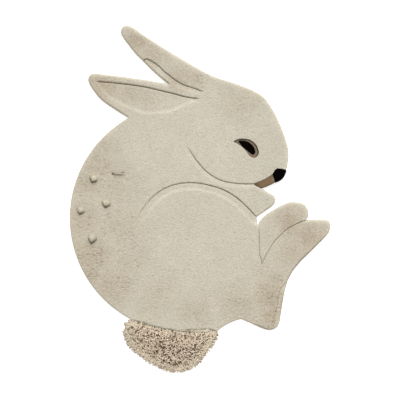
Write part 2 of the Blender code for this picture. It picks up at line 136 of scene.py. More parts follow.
def woolYarn(tipHex, napHex, paintedShadeHex, **changes):
    # sizes in mm: yarn ends about 5 mm across, fibre bundles about 1 mm
    wool = {"tipHex": tipHex, "napHex": napHex, "paintedShadeHex": paintedShadeHex,
            "cloudSize": 50, "cloudDepth": 0.035, "yarnSize": 6, "yarnDepth": 0.06,
            "tuftSize": 4.2, "tuftDepth": 0.05, "tuftRelief": 1.2,
            "fibreSize": 1.1, "bumpStrength": 0.7, "bumpDepth": 1.2,
            "roughness": 0.95, "specular": 0.12, "sheen": 0.08}
    wool.update(changes)
    return wool


def canvasMaterial(name, canvas):
    # Cotton canvas, plain woven and glued over the latex: flat, dull and a little creamy.
    material = bpy.data.materials.new(name)
    material.use_nodes = True
    tree = material.node_tree
    tree.nodes.clear()
    place = addNode(tree, "ShaderNodeTexCoord").outputs["Object"]
    # threads are 1 mm apart on the real one, drawn coarser so that they show; the wave has 20
    # radians to a unit of its scale
    weave = [addNode(tree, "ShaderNodeTexWave",
                     {"wave_type": "BANDS", "bands_direction": way, "Distortion": 0.6,
                      "Scale": 2 * math.pi / 20 * 1000 / canvas["threadSpacing"], "Detail": 1.0},
                     {"Vector": place}).outputs["Fac"] for way in ("X", "Y")]
    crossed = addNode(tree, "ShaderNodeMath", {"operation": "MAXIMUM"}, {0: weave[0], 1: weave[1]})
    colour = addNode(tree, "ShaderNodeMix", {"data_type": "RGBA", 6: linear(canvas["gapHex"]),
                                             7: linear(canvas["threadHex"])},
                     {0: crossed.outputs["Value"]})
    bump = addNode(tree, "ShaderNodeBump", {"Strength": 0.4, "Distance": 0.4 * mm},
                   {"Height": crossed.outputs["Value"]})
    shader = addNode(tree, "ShaderNodeBsdfPrincipled",
                     {"Roughness": 0.85, "Metallic": 0.0, "IOR": 1.5, "Specular IOR Level": 0.25},
                     {"Base Color": colour.outputs[2], "Normal": bump.outputs["Normal"]})
    addNode(tree, "ShaderNodeOutputMaterial", {}, {"Surface": shader.outputs["BSDF"]})
    return material


# each wool's third colour is the painted shade that the mesh lays down between its yarns
# undyed wool tufted short and sheared level: even and dull, tan where the tufts lie over
shearedEcruWool = woolMaterial("shearedEcruWool", woolYarn("CFC8B6", "B09E86", "6E5F42"))
# the same wool left long and set in curls: pale strands, with deep brown painted shade in the gaps
# between
curledEcruWool = woolMaterial("curledEcruWool", woolYarn(
    "DCCCB6", "D1C6B1", "5E4226", yarnSize=9, yarnDepth=0.06, tuftDepth=0.0, tuftRelief=0.0,
    fibreSize=1.6, bumpDepth=0.8))
# the same yarn left uncut and wrapped round: smooth strands that show no cut tufts
uncutEcruWool = woolMaterial("uncutEcruWool", woolYarn(
    "CBC2AE", "BFB095", "5F4A33", tuftDepth=0.0, tuftRelief=0.0, bumpDepth=0.8))
# dyed wool, sheared like the ground: a greyed brown, and a tan gone pinkish where it is worn
brownWool = woolMaterial("brownWool", woolYarn("867463", "6F6456", "1E150E"))
tanWool = woolMaterial("tanWool", woolYarn("826A52", "8E8070", "35261A"))
# dyed black wool, sheared: its fibres swallow the light, so it has no bloom or gloss
blackWool = woolMaterial("blackWool", woolYarn(
    "0B0908", "0B0908", "020202", yarnDepth=0.25, sheen=0.0, specular=0.0))
# undyed cotton, plain woven: pale threads that cross over darker gaps
cottonCanvas = canvasMaterial("cottonCanvas", {
    "threadSpacing": 6.0, "threadHex": "D9CFBA", "gapHex": "A79B82"})
print("materials made")


# Helpers for shapes

def addObject(name, data):
    made = bpy.data.objects.new(name, data)
    bpy.context.scene.collection.objects.link(made)
    return made


def makePiece(name, points, faces, materials, root, tone, nap=0.0, faceMaterials=None):
    # a mesh object from millimetres, riding on the rug; root (painted shade), tone (with painted
    # light in places) and nap are what its yarn shows, point by point or all the same
    data = bpy.data.meshes.new(name)
    data.from_pydata((np.asarray(points, float) * mm).tolist(), [], faces)
    for material in materials:
        data.materials.append(material)
    for key, value in (("root", root), ("tone", tone), ("nap", nap)):
        values = np.full(len(points), value, float)
        data.attributes.new(key, "FLOAT", "POINT").data.foreach_set("value", values)
    if faceMaterials is not None:
        data.polygons.foreach_set("material_index", faceMaterials)
    data.polygons.foreach_set("use_smooth", [True] * len(data.polygons))
    data.validate()
    data.update()
    piece = addObject(name, data)
    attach(piece, "root")
    return piece


def cadShape(node):
    # a CAD node's welded mesh, in millimetres
    shape = bmesh.new()
    shape.from_mesh(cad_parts[node].data)
    bmesh.ops.scale(shape, vec=(1 / mm,) * 3, verts=shape.verts)
    bmesh.ops.remove_doubles(shape, verts=shape.verts, dist=0.01)
    shape.normal_update()
    return shape


def lookDown(tree, x, y):
    # the highest place over x, y and its normal, or two Nones
    return tree.ray_cast(Vector((x, y, overAll)), Vector((0, 0, -1)))[:2]


def topOf(tree, x, y, fallback=0.0):
    place = lookDown(tree, x, y)[0]
    return fallback if place is None else place.z


def openLoops(faces):
    # the ordered border loops of some faces of a bmesh, as its vertices
    inside = set(faces)
    following = {}
    for face in faces:
        for loop in face.loops:
            if all(other == face or other not in inside for other in loop.edge.link_faces):
                following[loop.vert] = loop.link_loop_next.vert
    loops = []
    while following:
        first = next(iter(following))
        loop = [first]
        step = following.pop(first)
        while step is not first:
            loop.append(step)
            step = following.pop(step)
        loops.append(loop)
    return loops


def footLoops(shape, level):
    # the outlines of a piece's flat underside at that height, counter-clockwise from above
    under = [f for f in shape.faces
             if f.normal.z < -0.99 and abs(f.calc_center_median().z - level) < 0.05]
    return [np.array([v.co.xy for v in loop])[::-1] for loop in openLoops(under)]


def spacedLoop(loop, spacing):
    # the same closed loop with even spacing
    sides = np.linalg.norm(np.roll(loop, -1, 0) - loop, axis=1)
    along = np.concatenate([[0], np.cumsum(sides)])
    places = np.linspace(0, along[-1], int(along[-1] / spacing), endpoint=False)
    closed = np.vstack([loop, loop[:1]])
    return np.stack([np.interp(places, along, closed[:, axis]) for axis in (0, 1)], 1)


def outwardNormals(loop, spread=3):
    # sideways to the loop, averaged over its neighbours so that corners don't fold
    way = sum(np.roll(loop, -i, 0) - np.roll(loop, i, 0) for i in range(1, spread + 1))
    normals = np.stack([way[:, 1], -way[:, 0]], 1)
    return normals / np.linalg.norm(normals, axis=1)[:, None]


def insideLoop(points, loop):
    # by how often a line to the right crosses the loop
    inside = np.zeros(len(points), bool)
    for (ax, ay), (bx, by) in zip(loop, np.roll(loop, -1, 0)):
        if ay != by:
            crosses = (ay > points[:, 1]) != (by > points[:, 1])
            inside ^= crosses & (points[:, 0] < ax + (points[:, 1] - ay) / (by - ay) * (bx - ax))
    return inside


def nearTo(points):
    # a tree that finds the nearest of some places seen from above
    tree = KDTree(len(points))
    for i, (x, y) in enumerate(points):
        tree.insert((x, y, 0), i)
    tree.balance()
    return tree


def latticeIn(loop, spacing, margin):
    # points in offset rows; every third is the middle of a tuft, ringed by six gaps
    following = np.roll(loop, -1, 0)
    low, high = loop.min(0), loop.max(0)
    rowGap = spacing * math.sqrt(3) / 2
    points, middles = [], []
    for row in range(int((high[1] - low[1]) / rowGap) + 1):
        y = low[1] + row * rowGap + 1e-4
        crosses = (loop[:, 1] > y) != (following[:, 1] > y)
        a, b = loop[crosses], following[crosses]
        edges = np.sort(a[:, 0] + (y - a[:, 1]) / (b[:, 1] - a[:, 1]) * (b[:, 0] - a[:, 0]))
        for left, right in zip(edges[::2], edges[1::2]):
            first = math.ceil((left + margin - low[0]) / spacing - row / 2)
            last = math.floor((right - margin - low[0]) / spacing - row / 2)
            for column in range(first, last + 1):
                points.append((low[0] + (column + row / 2) * spacing, y))
                middles.append((column - row) % 3 == 0)
    return np.array(points), np.array(middles)


def filled(rim, extra, joins=()):
    # triangles between a closed rim and the points inside it, joined as told: places, faces and
    # which of the given points each place was, or -1
    count = len(rim)
    flat = [Vector(p) for p in np.vstack([rim, *extra])]
    joined = [(i, (i + 1) % count) for i in range(count)]
    joined += [(i + count, j + count) for i, j in joins]
    places, _, faces, origins, _, _ = delaunay_2d_cdt(flat, joined, [], 0, 0.05)
    places, faces = np.array(places), np.array(faces)
    onRim = np.array([any(i < count for i in own) for own in origins])
    loose = onRim[faces].all(1)
    outside = np.zeros(len(faces), bool)
    outside[loose] = ~insideLoop(places[faces[loose]].mean(1), rim)
    return places, faces[~outside], [own[0] if own else -1 for own in origins]


def borderOf(faces):
    # the points along the one open edge of some triangles, in order
    ways = {(i, j) for a, b, c in faces.tolist() for i, j in ((a, b), (b, c), (c, a))}
    following = {i: j for i, j in ways if (j, i) not in ways}
    around = [min(following)]
    while following[around[-1]] != around[0]:
        around.append(following[around[-1]])
    return around


# Yarn

def yarnPiece(name, strands, material, surface, fullDepth, sides=6):
    # closed tubes along paths; a strand is its path, radii, tone and nap, and its root value,
    # painted shade, comes from how deep each point lies under the piece's surface
    turns = np.linspace(0, 2 * math.pi, sides, endpoint=False)
    points, faces, tone, nap = [], [], [], []
    for path, radii, strandTone, strandNap in strands:
        path = np.asarray(path, float)
        ways = np.gradient(path, axis=0)
        ways /= np.linalg.norm(ways, axis=1)[:, None]
        side = np.cross(ways, (0, 0, 1.0))
        weak = np.linalg.norm(side, axis=1) < 0.2
        side[weak] = np.cross(ways[weak], (1.0, 0.3, 0))
        for i in range(1, len(side)):
            if side[i] @ side[i - 1] < 0:
                side[i] *= -1
        side /= np.linalg.norm(side, axis=1)[:, None]
        up = np.cross(side, ways)
        start = len(points)
        for i, (place, radius) in enumerate(zip(path, radii)):
            points += [place + radius * (side[i] * math.cos(turn) + up[i] * math.sin(turn))
                       for turn in turns]
        for i in range(len(path) - 1):
            a, b = start + i * sides, start + (i + 1) * sides
            faces += [(a + j, a + (j + 1) % sides, b + (j + 1) % sides, b + j)
                      for j in range(sides)]
        faces.append(tuple(range(start + sides - 1, start - 1, -1)))
        faces.append(tuple(range(len(points) - sides, len(points))))
        tone += [strandTone] * len(path) * sides
        nap += [strandNap] * len(path) * sides
    root = [min(1.0, max(0.0, (surface(x, y) - z) / fullDepth)) for x, y, z in points]
    return makePiece(name, points, faces, [material], root, tone, nap)


def bluntRadii(radius, count, spread):
    # a cut yarn: even, a little lumpy, closed in at both ends
    radii = [radius * spread.uniform(0.88, 1.08) for _ in range(count)]
    radii[0] *= 0.7
    radii[-2] *= 0.9
    radii[-1] *= 0.5
    return radii


# The rug's cloth: sheared pile on its canvas

rug = {
    "latticeSpacing": 3.15,   # mm, so tufts stand 5.5 mm apart
    "rimSpacing": 2.9,
    "rimInset": 5.0,          # from the foot's outline in to where the top starts
    "jitter": 0.5,
    "tuftRise": 0.75,         # a tuft's middle over the gaps round it
    "tuftUneven": 0.35,
    "creaseAngle": 6,         # degrees; sharper edges of the CAD's top are carved lines
    "lineSpacing": 2.3,
    "lineRimGap": 1.6,        # the lines keep this far from the rim
    "rimGap": 1.9,            # and the tufts from the rim and the lines
    "lineGap": 1.5,
    "grooveReach": 3.6,       # a groove's sides are looked for this far off
    # the painted shade in a groove is full at this depth
    "grooveFull": 6,          # and one this deep is fully dark
    "slopeFacing": (0.7, 0.995),   # how far up a carved slope faces
    "slopeLevel": 11.5,       # and above which height its cut yarns show pale
    "seed": 11,
    # outward from the top's rim, share of the height: the pile's rounded edge
    "edge": [(1.6, 0.98), (3.0, 0.93), (4.1, 0.845), (4.9, 0.72), (5.4, 0.57), (5.7, 0.4),
             (5.7, 0.22), (5.6, 0.09), (5.0, 0.0)],
    "column": 0.26,           # how far each yarn stands out of the edge, and its spread
    "columnUneven": 0.2,
    # painted highlight: the edge's tips are painted paler where the edge faces the lamp, this much
    # and this wide
    "edgeHighlight": 0.11,            # near the edge tips part, pale where they turn to the lamp
    "edgeHighlightWidth": 16,
    # x, y, radius, and the millimetres that the edge leans out, or how dark its shaded side is
    "leaning": [(-257, 598, 60, 4.0), (-390, 425, 60, 2.5), (452, -80, 60, 1.8),
                (-130, 455, 110, 1.2)],
    "shaded": [(-303, 320, 90, 0.22), (365, -206, 125, 0.36), (215, -437, 40, 0.4),
               (275, -360, 60, 0.35)],
    "calm": [(-150, 470, 170), (-280, 370, 120), (340, -120, 120)],   # fewer dashes here
    # x, y, radius, share: where the pile leans away and looks tan
    "nap": {
        "shoulder": [(-344, 120, 75, 0.4), (-379, 60, 75, 0.4), (-325, 185, 65, 0.3)],
        "back": [(-400, -70, 85, 0.4), (-372, -190, 95, 0.5), (-385, -265, 65, 0.5),
                 (-300, -300, 95, 0.45), (-285, 40, 100, 0.25), (-275, -90, 110, 0.28),
                 (-250, -210, 95, 0.27)],
        "over the tail": [(-18, -386, 75, 0.3), (-170, -370, 65, 0.25), (138, -365, 95, 0.35),
                          (-137, -320, 80, 0.27)],
        "raised ear": [(-206, 550, 60, 0.55), (-160, 500, 60, 0.45), (-76, 412, 60, 0.5),
                       (-12, 415, 45, 0.35)],
        "low ear": [(-330, 405, 80, 0.58), (-245, 375, 70, 0.38), (-180, 355, 60, 0.25)],
        "forehead": [(140, 330, 75, 0.25)],
        "far foot": [(309, -76, 65, 0.6), (270, -130, 50, 0.2)],
        "near foot": [(375, -130, 70, 0.6), (425, -103, 45, 0.3), (310, -180, 65, 0.45)],
        "leg": [(247, -330, 80, 0.55), (255, -400, 70, 0.6), (262, -275, 55, 0.4),
                (225, -260, 50, 0.25)],
    },
    # and where it stands towards the light, or away from it: share added
    "paler": [(-52, 212, 200, 0.025), (55, 225, 90, 0.02), (120, 105, 110, 0.025),
              (-60, -175, 110, 0.015), (-225, 570, 60, -0.06)],
    # how dark the painted shade in each carved line is against its depth; pile closes over the
    # fainter ones
    "carved": [(-250, 390, 200, 1.15), (-120, 400, 120, 1.1), (21, 110, 90, 0.87),
               (128, 58, 70, 0.87), (-79, 51, 90, 0.62), (-160, 20, 60, 0.35),
               (-190, -25, 60, 0.1), (93, 13, 60, 0.9), (234, -141, 90, 0.8),
               (269, -334, 110, 1.6)],
    # the dashes are sunk, and their dark is painted shade
    "fleck": (11, 3.2),       # length and width of the dark dashes between tufting rows
    "fleckDepth": 1.6,
    "speckle": 0.22,          # light and dark of single tufts where the nap leans
}


def napAt(x, y):
    share = 0.0
    ragged = 1.35 * (1 + 0.25 * noise.noise(Vector((x / 45, y / 45, 2.2))))
    for patches in rug["nap"].values():
        for patchX, patchY, radius, most in patches:
            near = max(0.0, 1 - math.hypot(x - patchX, y - patchY) / radius / ragged)
            share = max(share, most * near * near * (3 - 2 * near))
    return share


def palerAt(x, y):
    return sum(share * max(0.0, 1 - (math.hypot(x - patchX, y - patchY) / radius) ** 2)
               for patchX, patchY, radius, share in rug["paler"])


def nearestShare(patches, x, y):
    # the most that any of the patches gives this place, which fades to their rims
    return max(share * max(0.0, 1 - (math.hypot(x - patchX, y - patchY) / radius) ** 2)
               for patchX, patchY, radius, share in patches)


def carvedAt(x, y):
    share = 1.0
    for patchX, patchY, radius, darkness in rug["carved"]:
        near = max(0.0, 1 - math.hypot(x - patchX, y - patchY) / radius)
        share += (darkness - share) * min(1.0, near * 2)
    return share


def fleckAt(x, y, nap):
    # 0 to 1: dashes along the rows where the tufts part, more of them where the nap leans
    length, width = rug["fleck"]
    dash = noise.noise(Vector((x / length, y / width, 7.7))) * 1.5
    field = noise.noise(Vector((x / 55, y / 55, 3.1)))
    calm = min(1.0, 1.5 * nearestShare([(*patch, 1) for patch in rug["calm"]], x, y))
    return min(1.0, max(0.0, (dash - 0.7 + 0.75 * nap + 0.2 * field) / 0.5)) * (1 - 0.75 * calm)


def creaseLines(shape, rimLoop):
    # points and joins along the carved lines, read off the CAD's own edges
    points, joins, found = [], [], {}
    rimTree = nearTo(rimLoop)

    def pointAt(place):
        key = (round(place.x, 2), round(place.y, 2))
        if key not in found:
            found[key] = len(points)
            points.append((place.x, place.y))
        return found[key]

    sharp = math.radians(rug["creaseAngle"])
    for edge in shape.edges:
        if len(edge.link_faces) != 2 or edge.calc_face_angle(0) < sharp:
            continue
        a, b = (v.co for v in edge.verts)
        if min(a.z, b.z) < pileBase or (a.xy - b.xy).length < 0.3:
            continue   # on the canvas, or an upright edge
        steps = max(1, round((a.xy - b.xy).length / rug["lineSpacing"]))
        chain = [pointAt(a.lerp(b, i / steps)) for i in range(steps + 1)]
        joins += [(i, j) for i, j in zip(chain, chain[1:]) if i != j]
    places = np.array(points)
    kept = insideLoop(places, rimLoop)
    for i in np.nonzero(kept)[0]:
        kept[i] = rimTree.find((*places[i], 0))[2] > rug["lineRimGap"]
    order = np.cumsum(kept) - 1
    joins = {(int(order[i]), int(order[j])) for i, j in joins if kept[i] and kept[j]}
    return places[kept], sorted(joins)


# Bobbles: knots of uncut yarn, where they are

bobbles = {
    "yarns": 9,
    "radius": (1.5, 2.0),
    "laidYarns": 7,           # of the flat one
    "laidRadius": 1.1,
    "darkDepth": 21.0,
    "seed": 3,
    # degrees: the side where each is pulled to a steep point and the pile parts
    "point": {"bobble_1": -118, "bobble_2": 183, "bobble_3": -108, "bobble_4": -113,
              "bobble_5": -101},
    "flat": ["bobble_2"],     # its yarns lie all one way
    "tuckedIn": (0, 0, 0, 0, 0, 0, 0, 0.4, 1.4, 3.2),   # mm, along a yarn to its end behind
    "parting": 3.0,           # mm that the pile is sunk beside it
    "partingWidth": 3.6,
}

# where the tail's shag ends on the short pile, which it covers by a few millimetres
seam = [(-236.7, -415.0), (-195.5, -421.6), (-152.5, -436.7), (-118.1, -443.1), (-83.7, -447.4),
        (-40.8, -448.2), (-2.9, -446.5), (28.0, -445.3), (58.1, -452.5)]


def bobbleShape(node):
    # its middle, half its length towards the point and half its width, those two ways, its foot
    # and its height
    low, high = (Vector(corner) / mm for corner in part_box(node))
    turn = math.radians(bobbles["point"][node])
    across, along = (high - low).xy / 2
    return {"middle": ((low + high) / 2).xy, "foot": low.z, "height": high.z - low.z,
            "half": (across, along) if node in bobbles["flat"] else (along, across),
            "ahead": Vector((math.cos(turn), math.sin(turn))),
            "aside": Vector((-math.sin(turn), math.cos(turn)))}


def placeOn(bobble, u, v):
    # across the bobble in shares of its size: u towards the point, v to the side
    return (bobble["middle"] + u * bobble["half"][0] * bobble["ahead"]
            + v * bobble["half"][1] * bobble["aside"])


def bobbleReach(angle):
    # how far its outline lies, by the angle from its point: a V ahead, round behind
    power = 1.05 if abs(angle) < math.pi / 2 else 2.0
    return (abs(math.cos(angle)) ** power + abs(math.sin(angle)) ** power) ** (-1 / power)


def partingTree():
    # places in the shade, beside the bobbles and along the tail, and how deep each is
    places, shares = [], []
    for node in bobbles["point"]:
        bobble = bobbleShape(node)
        for i in range(13):
            if node in bobbles["flat"]:
                # even along its start
                u, v, share = 0.85 - i * 0.11, 0.35, max(0.3, 1.2 - i / 8)
            else:
                # deepest under the point
                side = i / 6 - 1
                reach = bobbleReach(side * 1.45)
                u, v = math.cos(side * 1.45) * reach, math.sin(side * 1.45) * reach
                share = 1 - 0.65 * abs(side) ** 1.5
            places.append(placeOn(bobble, u, v))
            shares.append(share)
    for (ax, ay), (bx, by) in zip(seam, seam[1:]):
        for i in range(20):
            x, y = ax + (bx - ax) * i / 20, ay + (by - ay) * i / 20
            places.append((x, y))
            ends = min(1.0, abs(x + 90) / 150) ** 2
            dash = noise.noise(Vector((x / 9, 4.4, 0))) * 1.2
            shares.append(min(1.7, max(0.0, 0.55 + 1.2 * ends + dash)))
    return nearTo(places), shares


partings, partingShares = partingTree()


def partingAt(x, y):
    _, nearest, away = partings.find((x, y, 0))
    return partingShares[nearest] * max(0.0, 1 - away / bobbles["partingWidth"])


def makeNet(shape, spread):
    # the pile from above: points, triangles, how far each point is a tuft's middle (1) or a gap
    # round it (-0.5), and the rim with its ways out
    foot = spacedLoop(footLoops(shape, 0.0)[0], rug["rimSpacing"])
    rimWays = outwardNormals(foot)
    rim = foot - rimWays * rug["rimInset"]
    lines, joins = creaseLines(shape, rim)
    grid, middles = latticeIn(rim, rug["latticeSpacing"], 1.0)
    grid += np.array([[spread.uniform(-1, 1) * rug["jitter"] for _ in "xy"] for _ in grid])
    rimTree, lineTree = nearTo(rim), nearTo(lines)
    kept = [rimTree.find((x, y, 0))[2] > rug["rimGap"] and
            lineTree.find((x, y, 0))[2] > rug["lineGap"] for x, y in grid]
    grid, middles = grid[kept], middles[kept]
    places, faces, origins = filled(rim, [lines, grid], joins)
    firstTuft = len(rim) + len(lines)
    tuft = np.array([0.0 if own < firstTuft else (1.0 if middles[own - firstTuft] else -0.5)
                     for own in origins])
    return places, faces, tuft, rimTree, rimWays


def highestAt(tree, x, y):
    # of a few rays, so that a point on a wall's edge takes its top
    return max(topOf(tree, x + dx, y + dy) for dx, dy in
               ((0, 0), (0.08, 0), (-0.08, 0), (0, 0.08), (0, -0.08)))


def grooveAt(tree, x, y, z):
    # how far the pile on both sides stands over this place
    if z > pileTop - 0.4:
        return 0.0
    deepest = 0.0
    for turn in (0, 45, 90, 135):
        dx = rug["grooveReach"] * math.cos(math.radians(turn))
        dy = rug["grooveReach"] * math.sin(math.radians(turn))
        sides = min(topOf(tree, x + dx, y + dy, 99), topOf(tree, x - dx, y - dy, 99))
        deepest = max(deepest, sides - z) if sides < 90 else deepest
    return deepest


def onSlope(tree, x, y):
    # carved slopes show the cut sides of the yarns, which are paler
    place, normal = lookDown(tree, x, y)
    least, most = rug["slopeFacing"]
    return place is not None and place.z > rug["slopeLevel"] and least < normal.z < most


def edgeHighlightAt(rimTree, rimWays, x, y):
    # painted highlight beside the edge, where the edge faces the lamp
    _, nearest, away = rimTree.find((x, y, 0))
    wayX, wayY = rimWays[nearest]
    lit = min(1.0, max(0.0, 0.3 + 0.6 * wayX + 0.7 * wayY))
    return lit * max(0.0, 1 - away / rug["edgeHighlightWidth"]) ** 2


def dressPile(shape, places, tuft, rimTree, rimWays, spread):
    # each point's level in the CAD and its lift over that, what its yarn shows, its painted
    # highlight by a lit edge, and the painted shade by the edge
    tree = BVHTree.FromBMesh(shape)
    heights = np.array([highestAt(tree, x, y) for x, y in places])
    onPile = heights > pileBase
    slope = np.array([onSlope(tree, x, y) for x, y in places])
    nap = np.array([napAt(x, y) for x, y in places])
    fleck = np.array([fleckAt(x, y, share) for (x, y), share in zip(places, nap)])
    parting = np.array([partingAt(x, y) for x, y in places])
    lift = np.array([t * rug["tuftRise"] * 0.67 + spread.uniform(-1, 1) * rug["tuftUneven"]
                     for t in tuft]) - fleck * rug["fleckDepth"] - parting * bobbles["parting"]
    groove = np.array([grooveAt(tree, x, y, z) for (x, y), z in zip(places, heights)])
    carved = np.array([carvedAt(x, y) for x, y in places])
    # painted shade down in the carved grooves, by their depth
    root = np.where(onPile, np.clip(groove / rug["grooveFull"], 0, 1) * carved, 1.0)
    # painted shade in the gaps round each tuft and in the dashes between rows
    root = np.clip(root + np.where(tuft < 0, 0.06, 0.0) + fleck * (0.25 + 0.35 * nap), 0, 1)
    # painted shade beside the bobbles and along the seam, where the pile is sunk
    root = np.maximum(root, np.minimum(1, parting * 0.93))
    root *= 0.85 + 0.3 * np.array([noise.noise(Vector((x / 9, y / 9, 5))) for x, y in places])
    tone = np.array([1 + spread.uniform(-1, 1) * (0.05 + rug["speckle"] * share) + palerAt(x, y)
                     for (x, y), share in zip(places, nap)]) + slope * 0.03
    edgeHighlight = np.array([edgeHighlightAt(rimTree, rimWays, x, y) for x, y in places])
    shade = np.array([nearestShare(rug["shaded"], x, y) *
                      max(0.0, 1 - rimTree.find((x, y, 0))[2] / 4) for x, y in places])
    values = {"root": np.clip(root + shade, 0, 1), "tone": tone + edgeHighlight * rug["edgeHighlight"],
              "nap": nap * (1 - 0.7 * edgeHighlight)}
    return heights, lift * onPile, values, edgeHighlight, shade


def doubled(values):
    # with a value halfway between each two, round a closed loop
    between = (values + np.roll(values, -1, axis=0)) / 2
    return np.stack([values, between], axis=1).reshape(-1, *values.shape[1:])


def ringFaces(above, below):
    # between a ring and the one below, which may have twice as many points
    count, many = len(above), len(below)
    if count == many:
        return [(above[(i + 1) % count], above[i], below[i], below[(i + 1) % count])
                for i in range(count)]
    return [face for i, top in enumerate(above) for face in (
        (top, below[2 * i], below[2 * i + 1]),
        (above[(i + 1) % count], top, below[2 * i + 1], below[(2 * i + 2) % many]))]


def makeEdge(around, places, heights, values, edgeHighlight, shade, spread):
    # rings from the pile's rim down to the foot, a column for each yarn and a gap between:
    # their points and values
    rimPlaces, rimHeights, rimNap, rimHighlight, rimShade = (
        doubled(kind[around]) for kind in (places, heights, values["nap"], edgeHighlight, shade))
    normals = doubled(outwardNormals(places[around]))
    leaning = np.array([nearestShare(rug["leaning"], x, y) for x, y in rimPlaces])
    count = len(rimPlaces)
    gap = np.arange(count) % 2
    column = np.array([spread.gauss(0, rug["columnUneven"]) for _ in range(count)])
    column += rug["column"] * (1 - 2 * gap)
    cut = np.array([spread.uniform(-0.5, 0.5) for _ in range(count)]) - 0.3 * gap
    rings, ringValues = [], {"root": [], "tone": [], "nap": []}
    for outward, share in rug["edge"]:
        z = rimHeights * share + cut * (share > 0.5)
        sway = np.array([noise.noise(Vector((i / 2.4, h / 9, 4.2))) for i, h in enumerate(z)])
        push = outward + (column + sway * 0.5) * (1.0 if 0 < share < 0.95 else 0.3)
        push += leaning * min(1.0, outward / 5)
        rings.append(np.column_stack([rimPlaces + normals * push[:, None], z]))
        # painted shade, darker down the edge and in the gaps between columns; the standing columns
        # painted a little lighter
        ringValues["root"].append(
            np.clip(0.03 + (0.35 + 0.2 * gap) * (1 - share) + rimShade, 0, 1))
        ringValues["tone"].append(
            1 + column * 0.06 + rimHighlight * rug["edgeHighlight"] * min(1.0, share * 1.5))
        ringValues["nap"].append(rimNap)
    return rings, ringValues


def makeRugPile():
    shape = cadShape("rug_body")
    spread = random.Random(rug["seed"])
    places, faces, tuft, rimTree, rimWays = makeNet(shape, spread)
    heights, lift, values, edgeHighlight, shade = dressPile(
        shape, places, tuft, rimTree, rimWays, spread)
    around = borderOf(faces)
    rings, ringValues = makeEdge(around, places, heights, values, edgeHighlight, shade, spread)
    points = np.vstack([np.column_stack([places, heights + lift]), *rings])
    values = {key: np.concatenate([values[key], *ringValues[key]]) for key in values}
    faces, above, start = faces.tolist(), around, len(places)
    for ring in rings:
        below = list(range(start, start + len(ring)))
        faces += ringFaces(above, below)
        above, start = below, start + len(ring)
    faces.append(above[::-1])
    canvas = [0 if len(f) < 5 and any(points[i][2] > pileBase for i in f) or len(f) == 4 else 1
              for f in faces]
    piece = makePiece("rugPile", points, faces, [shearedEcruWool, cottonCanvas],
                      faceMaterials=canvas, **values)
    piece.data.polygons[-1].use_smooth = False   # the flat underside
    shape.free()
    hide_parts("rug_body")
    print("rug pile:", len(points), "points")
    return piece


rugPile = makeRugPile()


# Pieces tufted in other yarns

inlays = {
    # line and lineFrom: the width of the painted shade in the groove sheared round it, and where
    # that shade is deepest
    # worn and shade: x, y and radius of where the yarn is worn pink, and of a shadow on it
    # leaning: a way in which the yarn lies over, and by how many millimetres
    # darkDepth: how deep between the yarns no light comes
    "nose": {"voxel": 1.5, "material": blackWool, "slot": "black_pile", "uneven": 0.6,
             "spread": 1.7, "darkDepth": 9},
    "lip": {"voxel": 1.5, "material": tanWool, "slot": "tan_pile", "uneven": 0.45,
            "spread": 0.3, "darkDepth": 9, "line": 2.6, "lineFrom": (0, -0.1),
            "worn": (254, 71, 8), "shade": (190, 53, 22)},
    "eye_rim": {"voxel": 1.5, "material": brownWool, "slot": "brown_pile", "uneven": 0.4,
                "spread": 0.8, "darkDepth": 9, "line": 3.6, "lineFrom": (0.65, 0.76)},
    "pupil": {"voxel": 1.5, "material": blackWool, "slot": "black_pile", "uneven": 0.5,
              "spread": 1.5, "darkDepth": 9, "leaning": (-0.66, -0.75, 1.3)},
}


def remeshed(node, size):
    # a CAD node's own shape in small even faces: points, normals and faces in millimetres
    copy = addObject("copy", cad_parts[node].data.copy())
    remesh = copy.modifiers.new("remesh", "REMESH")
    remesh.mode = "VOXEL"
    remesh.voxel_size = size * mm
    bpy.context.view_layer.update()
    data = bpy.data.meshes.new_from_object(
        copy.evaluated_get(bpy.context.evaluated_depsgraph_get()))
    points = np.array([v.co for v in data.vertices]) / mm
    normals = np.array([v.normal for v in data.vertices])
    faces = [tuple(p.vertices) for p in data.polygons]
    bpy.data.objects.remove(copy)
    bpy.data.meshes.remove(data)
    return points, normals, faces


def makeInlay(node, inlay):
    # the CAD's shape roughened into cut pile, and spread a little over the yarn beside it
    points, normals, faces = remeshed(node, inlay["voxel"])
    high = points[:, 2].max()
    rough = np.array([noise.noise(Vector(p) / 2.4) for p in points]) * inlay["uneven"]
    points = points + normals * (rough + inlay["spread"])[:, None]
    if "leaning" in inlay:
        wayX, wayY, far = inlay["leaning"]
        points += normals * (np.clip(normals @ (wayX, wayY, 0), 0, 1) * far)[:, None]
    root = np.clip((high - points[:, 2]) / inlay["darkDepth"], 0, 1)
    if "line" in inlay:
        # painted shade along the groove round the piece, deepest on one side
        outline = spacedLoop(max(footLoops(cadShape(node), recessFloor), key=len), 1.5)
        outlineTree = nearTo(outline)
        depth = np.clip(outwardNormals(outline) @ inlay["lineFrom"] + 0.45, 0.1, 1)
        found = [outlineTree.find((x, y, 0)) for x, y, _ in points]
        line = [min(0.9, max(0.0, 1.6 - away / inlay["line"])) * depth[i] for _, i, away in found]
        root = np.maximum(root, line)
    tone = 1 + np.array([noise.noise(Vector(p) / 3.1 + Vector((9, 0, 0))) for p in points]) * 0.2
    nap = 0.0
    if "worn" in inlay:
        wornX, wornY, radius = inlay["worn"]
        nap = np.clip(1.3 - np.hypot(points[:, 0] - wornX, points[:, 1] - wornY) / radius, 0, 1)
        shadeX, shadeY, radius = inlay["shade"]
        away = np.hypot(points[:, 0] - shadeX, points[:, 1] - shadeY)
        root = np.maximum(root, np.clip(0.5 - 0.5 * away / radius, 0, 1))
    piece = makePiece(node + "Pile", points, faces, [inlay["material"]], root, tone, nap)
    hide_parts(node)


for node, inlay in inlays.items():
    makeInlay(node, inlay)
print("face made")


# The tail: long curled shag

